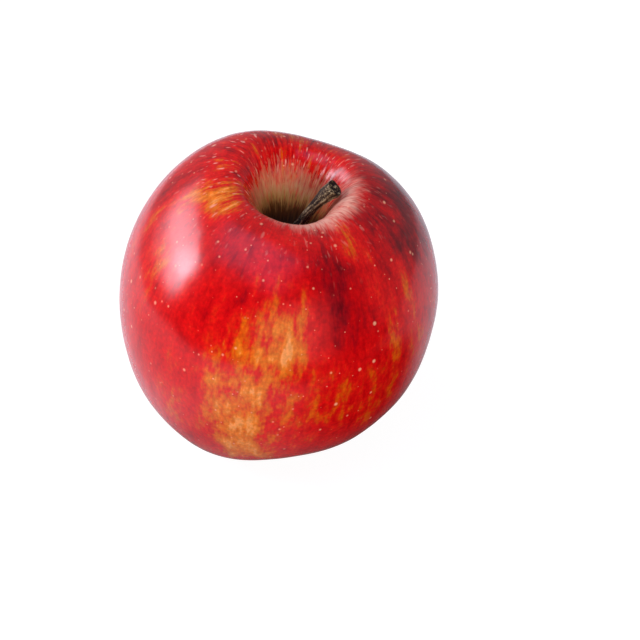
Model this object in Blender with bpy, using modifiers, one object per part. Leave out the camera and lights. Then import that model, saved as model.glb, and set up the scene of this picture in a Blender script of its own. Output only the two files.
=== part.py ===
"""A red eating apple: the fruit, its woody stem, and the dried calyx in the basin underneath.

The fruit is turned from one profile and then given its uneven growth: a lean of the core, a high
shoulder at the back, a faintly three-sided waist, and five low lobes round the basin. The lobes'
tips are flat at height zero, and the apple rests on them. The stem and the calyx each have a short
foot that stands in a plain socket on the core's line.

Metres, +Z up. The origin is on the surface that the apple rests on, under the middle of its width.
The front is at -Y, and the core leans towards +X.
"""

import math

import bmesh
import bpy
from mathutils import Matrix, Vector
from mathutils.geometry import interpolate_bezier

MM = 0.001

# The even fruit, before its uneven growth
EQUATOR_RADIUS = 39.0 * MM
EQUATOR_HEIGHT = 35.0 * MM
FRUIT_HEIGHT = 69.4 * MM
SHOULDER_RADIUS = 15.5 * MM  # ring where the top turns over into the stem cavity
BASE_RADIUS = 15.0 * MM  # ring where the underside turns up into the basin
CAVITY_DEPTH = 21.0 * MM
CAVITY_FLOOR_RADIUS = 6.6 * MM
CAVITY_FLOOR_RISE = 2.1 * MM
BASIN_DEPTH = 9.0 * MM
BASIN_FLOOR_RADIUS = 7.5 * MM
CORE_RADIUS = 3.0 * MM  # the shoulder's waves start outside it

# How full each stretch of the profile is, as a share of the way to its corner
LIP_FULLNESS = 0.50
SHOULDER_FULLNESS = 0.40
UPPER_SIDE_FULLNESS = 0.53
LOWER_SIDE_FULLNESS = 0.66
BASE_FULLNESS = 0.49
BASIN_FULLNESS = 0.5

# Uneven growth: waves round the fruit as (waves, size, direction of a crest)
CORE_LEAN = math.radians(8.0)
SHOULDER_WAVES = (
    (1, 2.35 * MM, math.radians(71.0)),
    (2, 0.9 * MM, math.radians(-15.0)),
    (3, 0.75 * MM, math.radians(8.0)),
)
WAIST_WAVE = (3, 0.02, math.radians(18.0))
LOBE_COUNT = 5
LOBE_HEIGHT = 1.6 * MM
LOBE_DIRECTION = math.radians(30.0)
LOBE_REACH = 0.5  # share of the height over which the lobes and the level base fade out
FLAT_SPOT_DEPTH = 0.4 * MM  # how much of each lobe's tip the resting surface takes away

# Sockets and clearances
GAP = 0.3 * MM
STEM_SOCKET_DEPTH = 2.5 * MM
CALYX_SOCKET_DEPTH = 2.5 * MM

# Stem
STEM_FOOT_RADIUS = 1.5 * MM
STEM_NECK_RADIUS = 1.2 * MM
STEM_HEAD_RADIUS = 2.1 * MM
STEM_HEAD_START = 0.68  # share of the free length where the flare begins
STEM_TIP = Vector((14.2, -1.5, 67.7)) * MM  # from the even fruit's base centre
STEM_RISE = 3.5 * MM  # how far the stem keeps to the core's line
STEM_TIP_LEAN = Vector((0.80, -0.10, 0.74))
STEM_STEPS = 22
STEM_BEVEL_RESOLUTION = 4

# Calyx
SEPAL_COUNT = 5
SEPAL_WIDTH = 3.1 * MM
SEPAL_THICKNESS = 0.7 * MM
SEPAL_ROOT_RADIUS = 2.9 * MM
SEPAL_WAIST_RADIUS = 1.9 * MM
SEPAL_TIP_RADIUS = 4.4 * MM
SEPAL_DROP = 6.2 * MM
SEPAL_ROWS = 7
SEPAL_COLUMNS = 2
CALYX_FOOT_RADIUS = 2.2 * MM
CALYX_FLANGE_RADIUS = 3.5 * MM
CALYX_FLANGE_THICKNESS = 0.9 * MM
STAMEN_COUNT = 5
STAMEN_RADIUS = 0.4 * MM
STAMEN_LENGTH = 3.6 * MM
STAMEN_RING_RADIUS = 0.75 * MM
STAMEN_SPLAY = math.radians(7.0)

# Fineness of the solids
FRUIT_STEPS = 60
CAVITY_STEPS = 9
SHOULDER_STEPS = 11
SIDE_STEPS = 14
BASIN_STEPS = 9
CALYX_STEPS = 20
MERGE_DISTANCE = 0.01 * MM
SHARP_ANGLE = math.radians(40.0)


def clear_objects():
    """Remove every object of the scene."""
    for thing in list(bpy.data.objects):
        bpy.data.objects.remove(thing, do_unlink=True)


def new_collection(name):
    """Return a new collection linked to the scene."""
    collection = bpy.data.collections.new(name)
    bpy.context.scene.collection.children.link(collection)
    return collection


def new_material(name, color, roughness):
    """Return a material with a Principled BSDF of the given linear colour and roughness."""
    material = bpy.data.materials.new(name)
    material.use_nodes = True
    shader = material.node_tree.nodes["Principled BSDF"]
    shader.inputs["Base Color"].default_value = (*color, 1.0)
    shader.inputs["Roughness"].default_value = roughness
    shader.inputs["Metallic"].default_value = 0.0
    return material


def evaluated_mesh(thing):
    """Return a new mesh of the object with its modifiers applied."""
    depsgraph = bpy.context.evaluated_depsgraph_get()
    return bpy.data.meshes.new_from_object(thing.evaluated_get(depsgraph))


def replace_mesh(thing, mesh):
    """Give the object its finished mesh in place of its modifiers."""
    thing.modifiers.clear()
    thing.data = mesh


def weld(mesh):
    """Weld the mesh's vertices that lie on one another."""
    work = bmesh.new()
    work.from_mesh(mesh)
    bmesh.ops.remove_doubles(work, verts=work.verts, dist=MERGE_DISTANCE)
    work.to_mesh(mesh)
    work.free()


def shade_round(thing):
    """Shade the object smooth, but for its sharp edges."""
    thing.data.shade_smooth()
    thing.data.set_sharp_from_angle(angle=SHARP_ANGLE)


def curve_points(start, leave, arrive, end, steps):
    """Return the points of a cubic curve from its (radius, height) corners, without the first."""
    corners = [Vector((radius, 0.0, height)) for radius, height in (start, leave, arrive, end)]
    return [Vector(point) for point in interpolate_bezier(*corners, steps + 1)][1:]


def cavity_floor_height():
    """Return the height of the stem cavity's floor in the even fruit."""
    return FRUIT_HEIGHT - CAVITY_DEPTH


def fruit_profile():
    """Return the even fruit's profile, from the stem's socket down the outer side to the calyx's socket."""
    stem_socket = STEM_FOOT_RADIUS + GAP
    calyx_socket = CALYX_FOOT_RADIUS + GAP
    calyx_floor = CALYX_FLANGE_RADIUS + GAP
    floor = cavity_floor_height()
    lip = SHOULDER_RADIUS - LIP_FULLNESS * (SHOULDER_RADIUS - stem_socket)
    shoulder = SHOULDER_RADIUS + SHOULDER_FULLNESS * (EQUATOR_RADIUS - SHOULDER_RADIUS)
    above = EQUATOR_HEIGHT + UPPER_SIDE_FULLNESS * (FRUIT_HEIGHT - EQUATOR_HEIGHT)
    below = EQUATOR_HEIGHT - LOWER_SIDE_FULLNESS * EQUATOR_HEIGHT
    under = BASE_RADIUS + BASE_FULLNESS * (EQUATOR_RADIUS - BASE_RADIUS)
    equator = (EQUATOR_RADIUS, EQUATOR_HEIGHT)

    points = [Vector((0.0, 0.0, floor - STEM_SOCKET_DEPTH))]
    points.append(Vector((stem_socket, 0.0, floor - STEM_SOCKET_DEPTH)))
    points.append(Vector((stem_socket, 0.0, floor)))
    points += curve_points((stem_socket, floor), (CAVITY_FLOOR_RADIUS, floor + CAVITY_FLOOR_RISE),
                           (lip, FRUIT_HEIGHT), (SHOULDER_RADIUS, FRUIT_HEIGHT), CAVITY_STEPS)
    points += curve_points((SHOULDER_RADIUS, FRUIT_HEIGHT), (shoulder, FRUIT_HEIGHT),
                           (EQUATOR_RADIUS, above), equator, SHOULDER_STEPS)
    points += curve_points(equator, (EQUATOR_RADIUS, below), (under, 0.0), (BASE_RADIUS, 0.0), SIDE_STEPS)
    points += curve_points((BASE_RADIUS, 0.0), (BASE_RADIUS * BASIN_FULLNESS, 0.0),
                           (BASIN_FLOOR_RADIUS, BASIN_DEPTH), (calyx_floor, BASIN_DEPTH), BASIN_STEPS)
    points.append(Vector((calyx_socket, 0.0, BASIN_DEPTH)))
    points.append(Vector((calyx_socket, 0.0, BASIN_DEPTH + CALYX_SOCKET_DEPTH)))
    points.append(Vector((0.0, 0.0, BASIN_DEPTH + CALYX_SOCKET_DEPTH)))
    return points


def turned(name, points, steps, collection):
    """Return an object turned about Z from a profile that runs down its outer side."""
    mesh = bpy.data.meshes.new(name)
    edges = [(index, index + 1) for index in range(len(points) - 1)]
    mesh.from_pydata(points, edges, [])
    thing = bpy.data.objects.new(name, mesh)
    collection.objects.link(thing)
    screw = thing.modifiers.new("turning", "SCREW")
    screw.steps = steps
    screw.render_steps = steps
    screw.use_merge_vertices = True
    screw.merge_threshold = MERGE_DISTANCE
    replace_mesh(thing, evaluated_mesh(thing))
    return thing


def wave(direction, waves, size, crest):
    """Return a wave's height in the given direction round the fruit."""
    return size * math.cos(waves * (direction - crest))


def grown(point):
    """Return where a point of the even fruit is after its uneven growth."""
    radius = math.hypot(point.x, point.y)
    direction = math.atan2(point.y, point.x)
    share = min(max(point.z / FRUIT_HEIGHT, 0.0), 1.0)
    near_top = share * share * (3.0 - 2.0 * share)
    near_base = max(1.0 - share / LOBE_REACH, 0.0) ** 3

    lift = sum(wave(direction, *each) for each in SHOULDER_WAVES)
    outside_core = min(max((radius - CORE_RADIUS) / (SHOULDER_RADIUS - CORE_RADIUS), 0.0), 1.0)
    lift *= near_top * outside_core
    between_lobes = 0.5 - 0.5 * math.cos(LOBE_COUNT * (direction - LOBE_DIRECTION))
    lift += near_base * LOBE_HEIGHT * between_lobes * min(radius / BASE_RADIUS, 1.0)

    swell = 1.0 + wave(direction, *WAIST_WAVE)
    x = point.x * swell
    y = point.y * swell
    z = point.z + lift + near_base * x * math.tan(CORE_LEAN)

    middle = Vector((0.0, 0.0, FRUIT_HEIGHT / 2))
    leaned = Matrix.Rotation(CORE_LEAN, 3, "Y") @ (Vector((x, y, z)) - middle) + middle
    leaned.z -= middle.z * (1.0 - math.cos(CORE_LEAN)) + FLAT_SPOT_DEPTH
    return leaned


def grow(mesh):
    """Move each of the mesh's vertices to its grown place."""
    for vertex in mesh.vertices:
        vertex.co = grown(vertex.co)


def make_fruit(collection):
    """Return the fruit: one solid of flesh and skin, with flat tips to its five lobes."""
    fruit = turned("fruit", fruit_profile(), FRUIT_STEPS, collection)
    grow(fruit.data)
    for vertex in fruit.data.vertices:
        vertex.co.z = max(vertex.co.z, 0.0)
    shade_round(fruit)
    fruit.data.materials.append(new_material("apple_skin", (0.46, 0.012, 0.014), 0.33))
    return fruit


def stem_radius(share):
    """Return the stem's radius at a share of its free length, flared at its broken end."""
    flare = max((share - STEM_HEAD_START) / (1.0 - STEM_HEAD_START), 0.0)
    flare = flare * flare * (3.0 - 2.0 * flare)
    foot = max(1.0 - share / STEM_HEAD_START, 0.0) ** 2
    return (STEM_NECK_RADIUS + (STEM_FOOT_RADIUS - STEM_NECK_RADIUS) * foot
            + (STEM_HEAD_RADIUS - STEM_NECK_RADIUS) * flare)


def stem_line():
    """Return the stem's centre points with their radii: the foot in its socket, then the free length."""
    floor = cavity_floor_height()
    root = grown(Vector((0.0, 0.0, floor)))
    foot = grown(Vector((0.0, 0.0, floor - STEM_SOCKET_DEPTH + GAP)))
    along = (root - foot).normalized()
    bend = (STEM_TIP - root).length / 3
    free = interpolate_bezier(root, root + along * STEM_RISE, STEM_TIP - STEM_TIP_LEAN.normalized() * bend,
                              STEM_TIP, STEM_STEPS + 1)
    line = [(foot, STEM_FOOT_RADIUS)]
    line += [(Vector(point), stem_radius(index / STEM_STEPS)) for index, point in enumerate(free)]
    return line


def make_stem(collection):
    """Return the stem: a woody stalk, bent towards +X, with a flared end."""
    curve = bpy.data.curves.new("stem_line", "CURVE")
    curve.dimensions = "3D"
    curve.bevel_depth = 1.0
    curve.bevel_resolution = STEM_BEVEL_RESOLUTION
    curve.use_fill_caps = True
    line = stem_line()
    spline = curve.splines.new("POLY")
    spline.points.add(len(line) - 1)
    for knot, (place, radius) in zip(spline.points, line):
        knot.co = (*place, 1.0)
        knot.radius = radius
    guide = bpy.data.objects.new("stem_line", curve)
    collection.objects.link(guide)

    mesh = evaluated_mesh(guide)
    weld(mesh)
    mesh.name = "stem"
    stem = bpy.data.objects.new("stem", mesh)
    stem.matrix_world = guide.matrix_world
    collection.objects.link(stem)
    bpy.data.objects.remove(guide, do_unlink=True)
    shade_round(stem)
    stem.data.materials.clear()
    stem.data.materials.append(new_material("stem_bark", (0.10, 0.052, 0.026), 0.8))
    return stem


def sepal_line():
    """Return a sepal's centre line as (radius, drop under the basin's floor) points, root first."""
    root = Vector((SEPAL_ROOT_RADIUS, 0.0, GAP + CALYX_FLANGE_THICKNESS * 0.5))
    waist = Vector((SEPAL_WAIST_RADIUS, 0.0, SEPAL_DROP * 0.45))
    turn = Vector((SEPAL_WAIST_RADIUS * 1.1, 0.0, SEPAL_DROP * 0.85))
    tip = Vector((SEPAL_TIP_RADIUS, 0.0, SEPAL_DROP))
    return [(point.x, point.z) for point in interpolate_bezier(root, waist, turn, tip, SEPAL_ROWS + 1)]


def make_sepal(index, collection):
    """Return one sepal: a pointed blade that rises round the core's line and curls outwards."""
    mesh = bpy.data.meshes.new(f"sepal_{index}")
    work = bmesh.new()
    bmesh.ops.create_grid(work, x_segments=SEPAL_COLUMNS, y_segments=SEPAL_ROWS, size=0.5)
    line = sepal_line()
    facing = 2 * math.pi * index / SEPAL_COUNT + LOBE_DIRECTION
    for vertex in work.verts:
        row = round((vertex.co.y + 0.5) * SEPAL_ROWS)
        radius, drop = line[row]
        taper = (1.0 - (row / SEPAL_ROWS) ** 2) * 0.9 + 0.1
        angle = facing + vertex.co.x * SEPAL_WIDTH * taper / SEPAL_ROOT_RADIUS
        vertex.co = (radius * math.cos(angle), radius * math.sin(angle), BASIN_DEPTH - drop)
    work.to_mesh(mesh)
    work.free()
    sepal = bpy.data.objects.new(f"sepal_{index}", mesh)
    collection.objects.link(sepal)
    solidify = sepal.modifiers.new("thickness", "SOLIDIFY")
    solidify.thickness = SEPAL_THICKNESS
    solidify.offset = 0.0
    replace_mesh(sepal, evaluated_mesh(sepal))
    return sepal


def make_stamen(index, collection):
    """Return one withered stamen: a thin stub that points down from the flange."""
    mesh = bpy.data.meshes.new(f"stamen_{index}")
    work = bmesh.new()
    bmesh.ops.create_cone(work, cap_ends=True, segments=6, radius1=STAMEN_RADIUS * 0.6,
                          radius2=STAMEN_RADIUS, depth=STAMEN_LENGTH)
    facing = 2 * math.pi * (index + 0.5) / STAMEN_COUNT + LOBE_DIRECTION
    hang = Matrix.Translation((0.0, 0.0, -STAMEN_LENGTH / 2))
    splay = Matrix.Rotation(-STAMEN_SPLAY, 4, "Y")
    place = Matrix.Translation((STAMEN_RING_RADIUS, 0.0, BASIN_DEPTH - GAP - CALYX_FLANGE_THICKNESS / 2))
    turn = Matrix.Rotation(facing, 4, "Z")
    bmesh.ops.transform(work, matrix=turn @ place @ splay @ hang, verts=work.verts)
    work.to_mesh(mesh)
    work.free()
    stamen = bpy.data.objects.new(f"stamen_{index}", mesh)
    collection.objects.link(stamen)
    return stamen


def calyx_foot_profile():
    """Return the profile of the calyx's foot in its socket and of its flange under the basin's floor."""
    top = BASIN_DEPTH + CALYX_SOCKET_DEPTH - GAP
    flange_top = BASIN_DEPTH - GAP
    flange_bottom = flange_top - CALYX_FLANGE_THICKNESS
    corners = (
        (0.0, top),
        (CALYX_FOOT_RADIUS, top),
        (CALYX_FOOT_RADIUS, flange_top),
        (CALYX_FLANGE_RADIUS, flange_top),
        (CALYX_FLANGE_RADIUS, flange_bottom),
        (0.0, flange_bottom),
    )
    return [Vector((radius, 0.0, height)) for radius, height in corners]


def make_calyx(collection):
    """Return the calyx: five dried sepals and the withered stamens, joined to one foot."""
    calyx = turned("calyx", calyx_foot_profile(), CALYX_STEPS, collection)
    pieces = new_collection("calyx_pieces")
    for index in range(SEPAL_COUNT):
        make_sepal(index, pieces)
    for index in range(STAMEN_COUNT):
        make_stamen(index, pieces)
    union = calyx.modifiers.new("joining", "BOOLEAN")
    union.operation = "UNION"
    union.operand_type = "COLLECTION"
    union.collection = pieces
    union.solver = "EXACT"
    replace_mesh(calyx, evaluated_mesh(calyx))
    for piece in list(pieces.objects):
        bpy.data.objects.remove(piece, do_unlink=True)
    bpy.data.collections.remove(pieces)
    weld(calyx.data)
    grow(calyx.data)
    shade_round(calyx)
    calyx.data.materials.clear()
    calyx.data.materials.append(new_material("dried_calyx", (0.085, 0.042, 0.02), 0.9))
    return calyx


def centre_on(fruit, things):
    """Move every object's mesh so that the middle of the fruit's width is over the origin."""
    xs = [vertex.co.x for vertex in fruit.data.vertices]
    ys = [vertex.co.y for vertex in fruit.data.vertices]
    middle = Vector(((min(xs) + max(xs)) / 2, (min(ys) + max(ys)) / 2, 0.0))
    for thing in things:
        thing.data.transform(Matrix.Translation(-middle))


def main():
    """Build the apple."""
    clear_objects()
    collection = new_collection("red_apple")
    fruit = make_fruit(collection)
    stem = make_stem(collection)
    calyx = make_calyx(collection)
    centre_on(fruit, (fruit, stem, calyx))


main()
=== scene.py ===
"""Looks of a red eating apple: its waxed, blushed skin, its bark-covered stem and its dried calyx.

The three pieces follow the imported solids' own sizes, in far finer meshes, and replace them. Sizes are in
millimetres inside the classes and turn to metres where a mesh is made. Places on the skin are given
as on a map of it: the direction round the core, in degrees (270 faces the camera), and the distance in
millimetres down the outline, from the floor of the stem cavity over the shoulder to the basin.
"""

import logging
import math
import random
from dataclasses import dataclass
from enum import Enum
from typing import Any

import bpy
import bpy
import numpy as np
from bpy.types import Light, Material, Mesh, Node, NodeSocket, NodeTree, Object
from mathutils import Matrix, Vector, noise
from mathutils.geometry import interpolate_bezier


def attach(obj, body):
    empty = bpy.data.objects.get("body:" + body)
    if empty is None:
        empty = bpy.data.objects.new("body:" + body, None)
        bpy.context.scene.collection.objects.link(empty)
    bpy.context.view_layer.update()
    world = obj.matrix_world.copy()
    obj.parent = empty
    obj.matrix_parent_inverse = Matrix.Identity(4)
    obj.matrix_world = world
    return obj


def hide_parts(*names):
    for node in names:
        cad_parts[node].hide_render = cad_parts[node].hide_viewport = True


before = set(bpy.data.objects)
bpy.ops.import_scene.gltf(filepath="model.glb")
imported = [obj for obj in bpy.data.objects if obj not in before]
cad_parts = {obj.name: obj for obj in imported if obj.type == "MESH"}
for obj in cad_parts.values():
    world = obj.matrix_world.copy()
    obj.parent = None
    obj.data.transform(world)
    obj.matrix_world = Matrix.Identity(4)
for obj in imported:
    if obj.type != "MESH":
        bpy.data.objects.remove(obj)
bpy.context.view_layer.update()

MM = 0.001
LOG = logging.getLogger("apple")


class Glaze(Enum):
    """How one colour lies over another in a Mix node."""

    OVER = "MIX"
    STAIN = "MULTIPLY"


def linear(code: str) -> tuple[float, float, float, float]:
    """Turn an sRGB hex colour to linear.

    Args:
        code: The colour as six hex digits after a hash sign.

    Returns:
        Red, green, blue and an alpha of one.
    """
    shares = [int(code[place:place + 2], 16) / 255 for place in (1, 3, 5)]
    red, green, blue = (s / 12.92 if s <= 0.04045 else ((s + 0.055) / 1.055) ** 2.4 for s in shares)
    return red, green, blue, 1.0


def feed(node: Node, links: dict[Any, Any] | tuple) -> None:
    """Set a node's inputs.

    Args:
        node: The node.
        links: A value or the socket that feeds it, for each input in turn or by its name or number.
    """
    for key, value in (links if isinstance(links, dict) else dict(enumerate(links))).items():
        if isinstance(value, NodeSocket):
            node.id_data.links.new(value, node.inputs[key])
        else:
            node.inputs[key].default_value = value


def add_node(tree: NodeTree, kind: str, links: dict[Any, Any] | tuple = (), out: int | str = 0,
             **settings: Any) -> NodeSocket:
    """Add a node with its settings and its inputs.

    Args:
        tree: The node tree that the node joins.
        kind: The node's Blender type, as it goes on after "ShaderNode".
        links: Its inputs, as feed takes them.
        out: The output that is wanted, by name or number.
        **settings: The node's own properties.

    Returns:
        The socket of that output.
    """
    node = tree.nodes.new("ShaderNode" + kind)
    for name, value in settings.items():
        setattr(node, name, value)
    feed(node, links)
    return node.outputs[out]


def fill_ramp(ramp: NodeSocket, stops: tuple[tuple[float, str | float], ...]) -> NodeSocket:
    """Set a colour ramp's stops.

    Args:
        ramp: The ramp's colour socket.
        stops: Each stop's place from 0 to 1, and its sRGB hex colour or its grey from 0 to 1.

    Returns:
        The same socket.
    """
    elements = ramp.node.color_ramp.elements
    while len(elements) < len(stops):
        elements.new(0.5)
    for element, (place, tone) in zip(elements, stops):
        element.position = place
        element.color = linear(tone) if isinstance(tone, str) else (tone, tone, tone, 1.0)
    return ramp


def new_material(name: str) -> tuple[Material, Node]:
    """Make a material.

    Args:
        name: What the real material is.

    Returns:
        The material and its Principled BSDF.
    """
    material = bpy.data.materials.new(name)
    material.use_nodes = True
    return material, material.node_tree.nodes["Principled BSDF"]


def smooth_step(value: np.ndarray, low: float, high: float) -> np.ndarray:
    """Return 0 below low, 1 above high and a smooth rise between them."""
    share = np.clip((value - low) / (high - low), 0.0, 1.0)
    return share * share * (3.0 - 2.0 * share)


def facing(turns: np.ndarray, degrees: float) -> np.ndarray:
    """Return how far each direction, in radians, faces a side: 1 there and 0 opposite it."""
    return 0.5 + 0.5 * np.cos(turns - math.radians(degrees))


def grain(points: np.ndarray, size: tuple[float, float, float], seed: float = 0.0) -> np.ndarray:
    """Return smooth noise of a grain size at rows of places, from about -1 to 1. The seed shifts it."""
    scaled = points / np.array(size) + seed
    return np.array([noise.noise(Vector(place)) for place in scaled])


def new_object(name: str, data: Any) -> Object:
    """Put a new object with its mesh, light or camera in the scene, and return it."""
    thing = bpy.data.objects.new(name, data)
    bpy.context.scene.collection.objects.link(thing)
    return thing


def link_object(name: str, mesh: Mesh, material: Material) -> Object:
    """Put a smooth-shaded mesh with its material in the scene, and return the piece."""
    mesh.materials.append(material)
    mesh.shade_smooth()
    return new_object(name, mesh)


def grid_mesh(name: str, rows: np.ndarray, closed_ends: bool = True) -> Mesh:
    """Make a mesh from rings of points.

    Args:
        name: The mesh's name.
        rows: Places in millimetres, as rings by points by three, each ring closed on itself.
        closed_ends: Whether the first and last ring are closed with a fan to their middle.

    Returns:
        The mesh, in metres, with its vertices ring by ring and the fans' middles last.
    """
    ring_count, point_count = rows.shape[:2]
    places = rows.reshape(-1, 3)
    ring, point = np.meshgrid(np.arange(ring_count - 1), np.arange(point_count), indexing="ij")
    after = (point + 1) % point_count
    corners = (ring * point_count + point, ring * point_count + after,
               (ring + 1) * point_count + after, (ring + 1) * point_count + point)
    faces = np.stack(corners, axis=-1).reshape(-1, 4)[:, ::-1].tolist()
    if closed_ends:
        first, last = len(places), len(places) + 1
        places = np.vstack([places, rows[0].mean(axis=0), rows[-1].mean(axis=0)])
        end = (ring_count - 1) * point_count
        for here in range(point_count):
            there = (here + 1) % point_count
            faces.append([first, there, here])
            faces.append([last, end + here, end + there])
    mesh = bpy.data.meshes.new(name)
    mesh.from_pydata((places * MM).tolist(), [], faces)
    mesh.update()
    return mesh


def add_attribute(mesh: Mesh, name: str, values: np.ndarray) -> None:
    """Store one number, or one vector, for each vertex.

    Args:
        mesh: The mesh.
        name: The attribute's name, which its material reads.
        values: The numbers, or rows of three, in the vertices' order.
    """
    kind, slot = ("FLOAT", "value") if values.ndim == 1 else ("FLOAT_VECTOR", "vector")
    attribute = mesh.attributes.new(name, kind, "POINT")
    attribute.data.foreach_set(slot, np.ascontiguousarray(values, dtype=np.float32).ravel())


def read_vertices(mesh: Mesh, slot: str) -> np.ndarray:
    """Read a vector of every vertex.

    Args:
        mesh: The mesh.
        slot: Which vector, "co" for the place in metres or "normal".

    Returns:
        The vectors, as rows of three.
    """
    values = np.empty(len(mesh.vertices) * 3, np.float32)
    mesh.vertices.foreach_get(slot, values)
    return values.reshape(-1, 3)


@dataclass(frozen=True)
class Patch:
    """A soft-edged oval on the map of the skin, where the blush is thinner or deeper.

    Attributes:
        direction: Its middle, in degrees round the core.
        down: Its middle, in millimetres down the outline.
        half_width: Half its width, in degrees.
        half_length: Half its length, in millimetres.
        amount: What it adds to the blush's thickness.
    """

    direction: float
    down: float
    half_width: float
    half_length: float
    amount: float

    def spread(self, directions: np.ndarray, downs: np.ndarray) -> np.ndarray:
        """Return what the patch adds at each place of the map."""
        across = (directions - self.direction + 180.0) % 360.0 - 180.0
        oval = (across / self.half_width) ** 2 + ((downs - self.down) / self.half_length) ** 2
        return self.amount / (1.0 + oval**2)


@dataclass(frozen=True)
class AppleSkin:
    """Skin of a striped eating apple: a wax cuticle over a blush that lies in streaks on a yellow ground.

    The wax gives a clean, slightly soft highlight. The blush is a dye in the skin, so its streaks change
    the colour and not the gloss.

    Attributes:
        blush_stops: The ground's and the blush's colours, from where the blush is thinnest.
        cork_and_shade_stops: The cork's colours from the cavity's floor up, darkened to near black towards
            the floor
        by painted shade.
        blotch: A blotch's width in millimetres.
        streaks: The blush's streaks. These, rays, shades and wander are as SkinPainter.streak takes them.
        cell_group: The mottling's and the cuticle's grain in millimetres, drawn coarse so that it shows.
        mottling: The least and the most that the mottling multiplies the colour by.
        dash_cell: The width and length of the map, in millimetres, that holds one dash.
        dash_radius: The smallest and largest dash, in cells.
        lenticels: Each scatter's spacing, and its smallest and largest radius, in millimetres.
    """

    gloss_roughness: float = 0.2
    cork_roughness: float = 0.9
    wax_ior: float = 1.46
    blush_stops: tuple[tuple[float, str], ...] = (
        (0.00, "#E88C44"),
        (0.16, "#DC7218"),
        (0.33, "#D25A08"),
        (0.44, "#CE4008"),
        (0.52, "#D01E0C"),
        (0.62, "#CE0C0C"),
        (0.77, "#B80409"),
        (0.90, "#90040E"),
        (1.00, "#6A040E"),
    )
    # Partly the cork's own olive and beige, partly painted shade: near black at the cavity's deep floor
    cork_and_shade_stops: tuple[tuple[float, str], ...] = (
        (0.00, "#120702"),
        (0.26, "#341801"),
        (0.46, "#5E3203"),
        (0.60, "#B08244"),
        (0.74, "#C69262"),
        (1.00, "#C47C56"),
    )
    lip_colour: str = "#E4AC94"
    dash_colour: str = "#F0A08C"
    lenticel_colour: str = "#FAB48C"
    blotch: float = 6.0
    streaks: tuple[tuple[float, ...], ...] = ((5.0, 22.0, 0.8), (2.4, 6.5, 1.15), (0.8, 2.0, 0.6))
    cell_group: float = 0.9
    mottling: tuple[float, float] = (0.8, 1.14)
    lip_rays: tuple[tuple[float, ...], ...] = ((2.4, 6.0, 2.0), (1.0, 2.4, 1.9))
    cork_rays: tuple[tuple[float, ...], ...] = ((2.6, 5.0, 1.7), (1.2, 1.6, 1.7, 4.0))
    cork_shades: tuple[tuple[float, ...], ...] = ((3.4, 6.0, 0.35), (1.1, 2.0, 0.35, 4.0))
    dash_wander: tuple[float, ...] = (4.0, 5.0, 5.0)
    dash_cell: tuple[float, float] = (2.0, 2.8)
    dash_radius: tuple[float, float] = (-0.06, 0.5)
    lenticels: tuple[tuple[float, ...], ...] = ((2.9, -0.16, 0.68), (1.8, -0.22, 0.36))
    lenticel_strength: float = 0.72
    lenticel_relief: float = 0.35
    cuticle_relief: float = 0.02


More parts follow.
